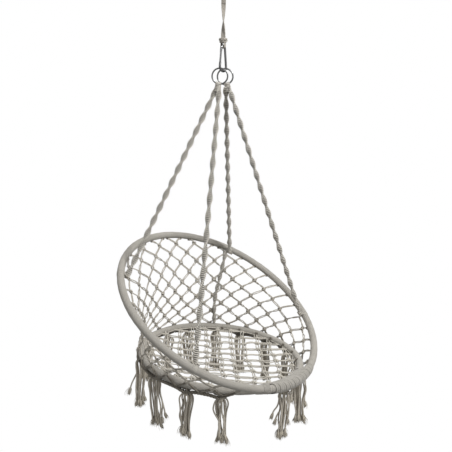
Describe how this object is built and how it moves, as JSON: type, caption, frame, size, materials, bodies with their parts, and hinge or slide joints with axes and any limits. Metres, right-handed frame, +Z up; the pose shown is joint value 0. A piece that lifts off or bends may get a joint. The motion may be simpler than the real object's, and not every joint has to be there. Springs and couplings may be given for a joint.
{
  "type": "hanging chair",
  "caption": "Tub-shaped hanging chair: a tilted and a level cord-wrapped hoop with knotted nets, hung by braided ropes on rings, a spring hook and a strap.",
  "frame": {"origin": "inner crown of the top loop of the strap, where a ceiling hook bears", "axes": "+Z up, -Y towards the front of the chair, +X to the right of a viewer facing +Y"},
  "size_m": [0.8006, 0.6622, 1.5873],
  "materials": {
    "cotton_cord": "matte twisted cotton cord, off-white",
    "zinc_steel": "zinc-plated steel wire",
    "hoop_steel": "light painted steel tube, under the cord cover"
  },
  "bodies": {
    "strap_top": {"strap_loop": "cotton_cord"},
    "strap": {"hanging_strap": "cotton_cord", "strap_knot": "cotton_cord", "strap_lower_loop": "cotton_cord"},
    "hook": {"hook_body": "zinc_steel", "gate_pin": "zinc_steel"},
    "gate": {"hook_gate": "zinc_steel", "gate_spring": "zinc_steel"},
    "chair": {"ring_left": "zinc_steel", "ring_right": "zinc_steel", "rope_head_left": "cotton_cord", "rope_head_right": "cotton_cord", "rope_rear_left": "cotton_cord", "rope_front_left": "cotton_cord", "rope_rear_right": "cotton_cord", "rope_front_right": "cotton_cord", "rope_tie_rear_left": "cotton_cord", "rope_tie_front_left": "cotton_cord", "rope_tie_rear_right": "cotton_cord", "rope_tie_front_right": "cotton_cord", "back_braid_right": "cotton_cord", "back_hoop_cover": "cotton_cord", "seat_hoop_cover": "cotton_cord", "back_net": "cotton_cord", "seat_net": "cotton_cord", "front_lashing": "cotton_cord", "back_hoop_tube_left": "hoop_steel", "back_hoop_tube_right": "hoop_steel", "seat_hoop_tube_left": "hoop_steel", "seat_hoop_tube_right": "hoop_steel", "back_hoop_joiner_left": "hoop_steel", "back_hoop_joiner_right": "hoop_steel", "seat_hoop_joiner_left": "hoop_steel", "seat_hoop_joiner_right": "hoop_steel"},
    "tassel_01": {"tassel_01": "cotton_cord"},
    "tassel_02": {"tassel_02": "cotton_cord"},
    "tassel_03": {"tassel_03": "cotton_cord"},
    "tassel_04": {"tassel_04": "cotton_cord"},
    "tassel_05": {"tassel_05": "cotton_cord"},
    "tassel_06": {"tassel_06": "cotton_cord"},
    "tassel_07": {"tassel_07": "cotton_cord"},
    "tassel_08": {"tassel_08": "cotton_cord"},
    "tassel_09": {"tassel_09": "cotton_cord"},
    "tassel_10": {"tassel_10": "cotton_cord"},
    "tassel_11": {"tassel_11": "cotton_cord"},
    "tassel_12": {"tassel_12": "cotton_cord"},
    "tassel_13": {"tassel_13": "cotton_cord"},
    "tassel_14": {"tassel_14": "cotton_cord"}
  },
  "joints": [
    {"name": "strap_turn", "type": "hinge", "parent": "strap_top", "child": "strap", "pos_m": [0, 0, -0.1], "axis": [0, 0, 1], "range_deg": [-90, 90], "stiffness_Nm_per_rad": 0.15},
    {"name": "swing_fore_aft", "type": "hinge", "parent": "strap", "child": "hook", "pos_m": [0, 0, -0.243], "axis": [1, 0, 0], "range_deg": [-25, 25]},
    {"name": "swing_side", "type": "hinge", "parent": "hook", "child": "chair", "pos_m": [0, 0, -0.3155], "axis": [0, 1, 0], "range_deg": [-20, 20]},
    {"name": "gate_open", "type": "hinge", "parent": "hook", "child": "gate", "pos_m": [-0.01502, 0, -0.30523], "axis": [0, 1, 0], "range_deg": [0, 15], "stiffness_Nm_per_rad": 0.15, "springref_deg": -17.19},
    {"name": "tassel_01_swing", "type": "hinge", "parent": "chair", "child": "tassel_01", "pos_m": [-0.00229, 0.28092, -1.33938], "axis": [1, 0, 0], "range_deg": [-35, 35]},
    {"name": "tassel_02_swing", "type": "hinge", "parent": "chair", "child": "tassel_02", "pos_m": [0.0902, 0.26597, -1.34119], "axis": [0.9483, -0.315, -0.038], "range_deg": [-35, 35]},
    {"name": "tassel_03_swing", "type": "hinge", "parent": "chair", "child": "tassel_03", "pos_m": [0.19276, 0.20659, -1.34835], "axis": [0.7431, -0.6643, -0.0802], "range_deg": [-35, 35]},
    {"name": "tassel_04_swing", "type": "hinge", "parent": "chair", "child": "tassel_04", "pos_m": [0.25651, 0.1247, -1.35823], "axis": [0.4602, -0.8814, -0.1064], "range_deg": [-35, 35]},
    {"name": "tassel_05_swing", "type": "hinge", "parent": "chair", "child": "tassel_05", "pos_m": [0.2881, 0.01674, -1.37126], "axis": [0.0872, -0.989, -0.1193], "range_deg": [-35, 35]},
    {"name": "tassel_06_swing", "type": "hinge", "parent": "chair", "child": "tassel_06", "pos_m": [0.27163, -0.10746, -1.38624], "axis": [-0.342, -0.9329, -0.1126], "range_deg": [-35, 35]},
    {"name": "tassel_07_swing", "type": "hinge", "parent": "chair", "child": "tassel_07", "pos_m": [0.22101, -0.1945, -1.39674], "axis": [-0.6428, -0.7605, -0.0918], "range_deg": [-35, 35]},
    {"name": "tassel_08_swing", "type": "hinge", "parent": "chair", "child": "tassel_08", "pos_m": [0.13456, -0.26401, -1.40513], "axis": [-0.8829, -0.4661, -0.0562], "range_deg": [-35, 35]},
    {"name": "tassel_09_swing", "type": "hinge", "parent": "chair", "child": "tassel_09", "pos_m": [-0.00229, -0.29788, -1.40922], "axis": [-1, 0, 0], "range_deg": [-35, 35]},
    {"name": "tassel_10_swing", "type": "hinge", "parent": "chair", "child": "tassel_10", "pos_m": [-0.21548, -0.20585, -1.39811], "axis": [-0.682, 0.7261, 0.0876], "range_deg": [-35, 35]},
    {"name": "tassel_11_swing", "type": "hinge", "parent": "chair", "child": "tassel_11", "pos_m": [-0.27533, -0.10983, -1.38653], "axis": [-0.3502, 0.9299, 0.1122], "range_deg": [-35, 35]},
    {"name": "tassel_12_swing", "type": "hinge", "parent": "chair", "child": "tassel_12", "pos_m": [-0.29095, 0.0318, -1.36944], "axis": [0.1392, 0.9831, 0.1186], "range_deg": [-35, 35]},
    {"name": "tassel_13_swing", "type": "hinge", "parent": "chair", "child": "tassel_13", "pos_m": [-0.232, 0.16969, -1.3528], "axis": [0.6157, 0.7823, 0.0944], "range_deg": [-35, 35]},
    {"name": "tassel_14_swing", "type": "hinge", "parent": "chair", "child": "tassel_14", "pos_m": [-0.13914, 0.24705, -1.34347], "axis": [0.8829, 0.4661, 0.0562], "range_deg": [-35, 35]}
  ]
}
